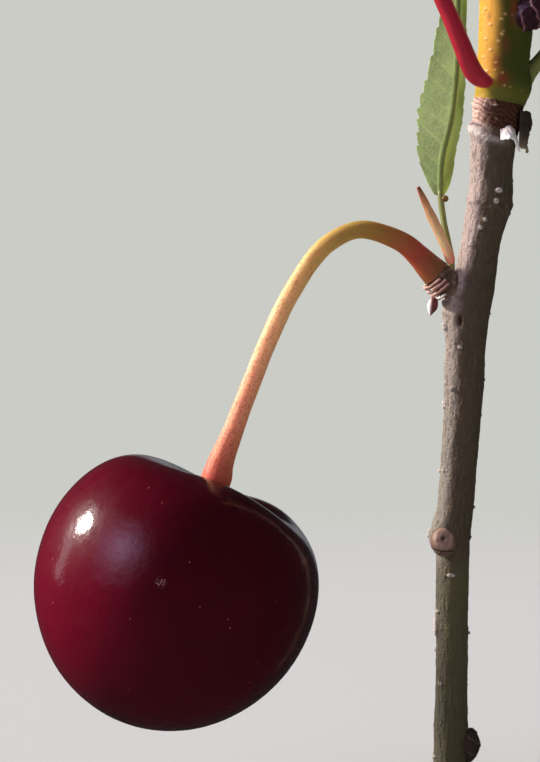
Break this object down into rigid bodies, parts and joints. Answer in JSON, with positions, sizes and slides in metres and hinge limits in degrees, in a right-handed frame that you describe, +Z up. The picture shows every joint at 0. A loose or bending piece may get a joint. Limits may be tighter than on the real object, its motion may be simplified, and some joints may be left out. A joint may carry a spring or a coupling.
{
  "type": "sour cherry on a twig",
  "caption": "A ripe sour cherry hanging by its bent stalk from a short spur on a cut length of twig, with buds, a folded young leaf and cut leaf stalks",
  "frame": {"origin": "the middle of the level cut face at the lower end of the twig", "axes": "+Z up along the growing twig, +X from the fruit towards the twig, +Y from the side the fruit is seen from to the far side"},
  "size_m": [0.0378, 0.0194, 0.0622],
  "materials": {
    "cherry_skin": "taut glossy dark red fruit skin",
    "stalk_skin": "smooth waxy young stalk, yellow-green turning red-pink at the fruit",
    "spur_bark": "crinkled brown bark of a short spur",
    "bud_scale": "dry brown bud scale with a pale pink edge",
    "bract": "thin orange-pink withering bract",
    "green_stalk_skin": "smooth green leaf stalk",
    "leaf": "toothed green leaf blade, grey-green beneath",
    "bark": "smooth silver-brown twig bark with pale breathing pores",
    "shoot_skin": "glossy yellow-green new shoot, blushed red-brown",
    "dry_scale": "pale torn papery scale",
    "red_stalk_skin": "smooth dark red leaf stalk",
    "shoot_bud_scale": "glossy dark purple-red bud scales"
  },
  "bodies": {
    "root": {"cherry": "cherry_skin", "fruit_stalk": "stalk_skin", "fruit_spur": "spur_bark", "spur_scale_1": "bud_scale", "spur_scale_2": "bud_scale", "spur_scale_3": "bud_scale", "spur_scale_4": "bud_scale", "spur_bud": "bud_scale", "spur_bract": "bract", "spur_leaf_stalk": "green_stalk_skin", "spur_leaf_blade": "leaf", "twig": "bark", "new_shoot": "shoot_skin", "ring_scale_dark": "bud_scale", "ring_scale_pale": "dry_scale", "red_leaf_stalk": "red_stalk_skin", "green_leaf_stalk": "green_stalk_skin", "shoot_bud": "shoot_bud_scale", "dormant_bud_left": "bark", "dormant_bud_right": "bark"}
  },
  "joints": []
}
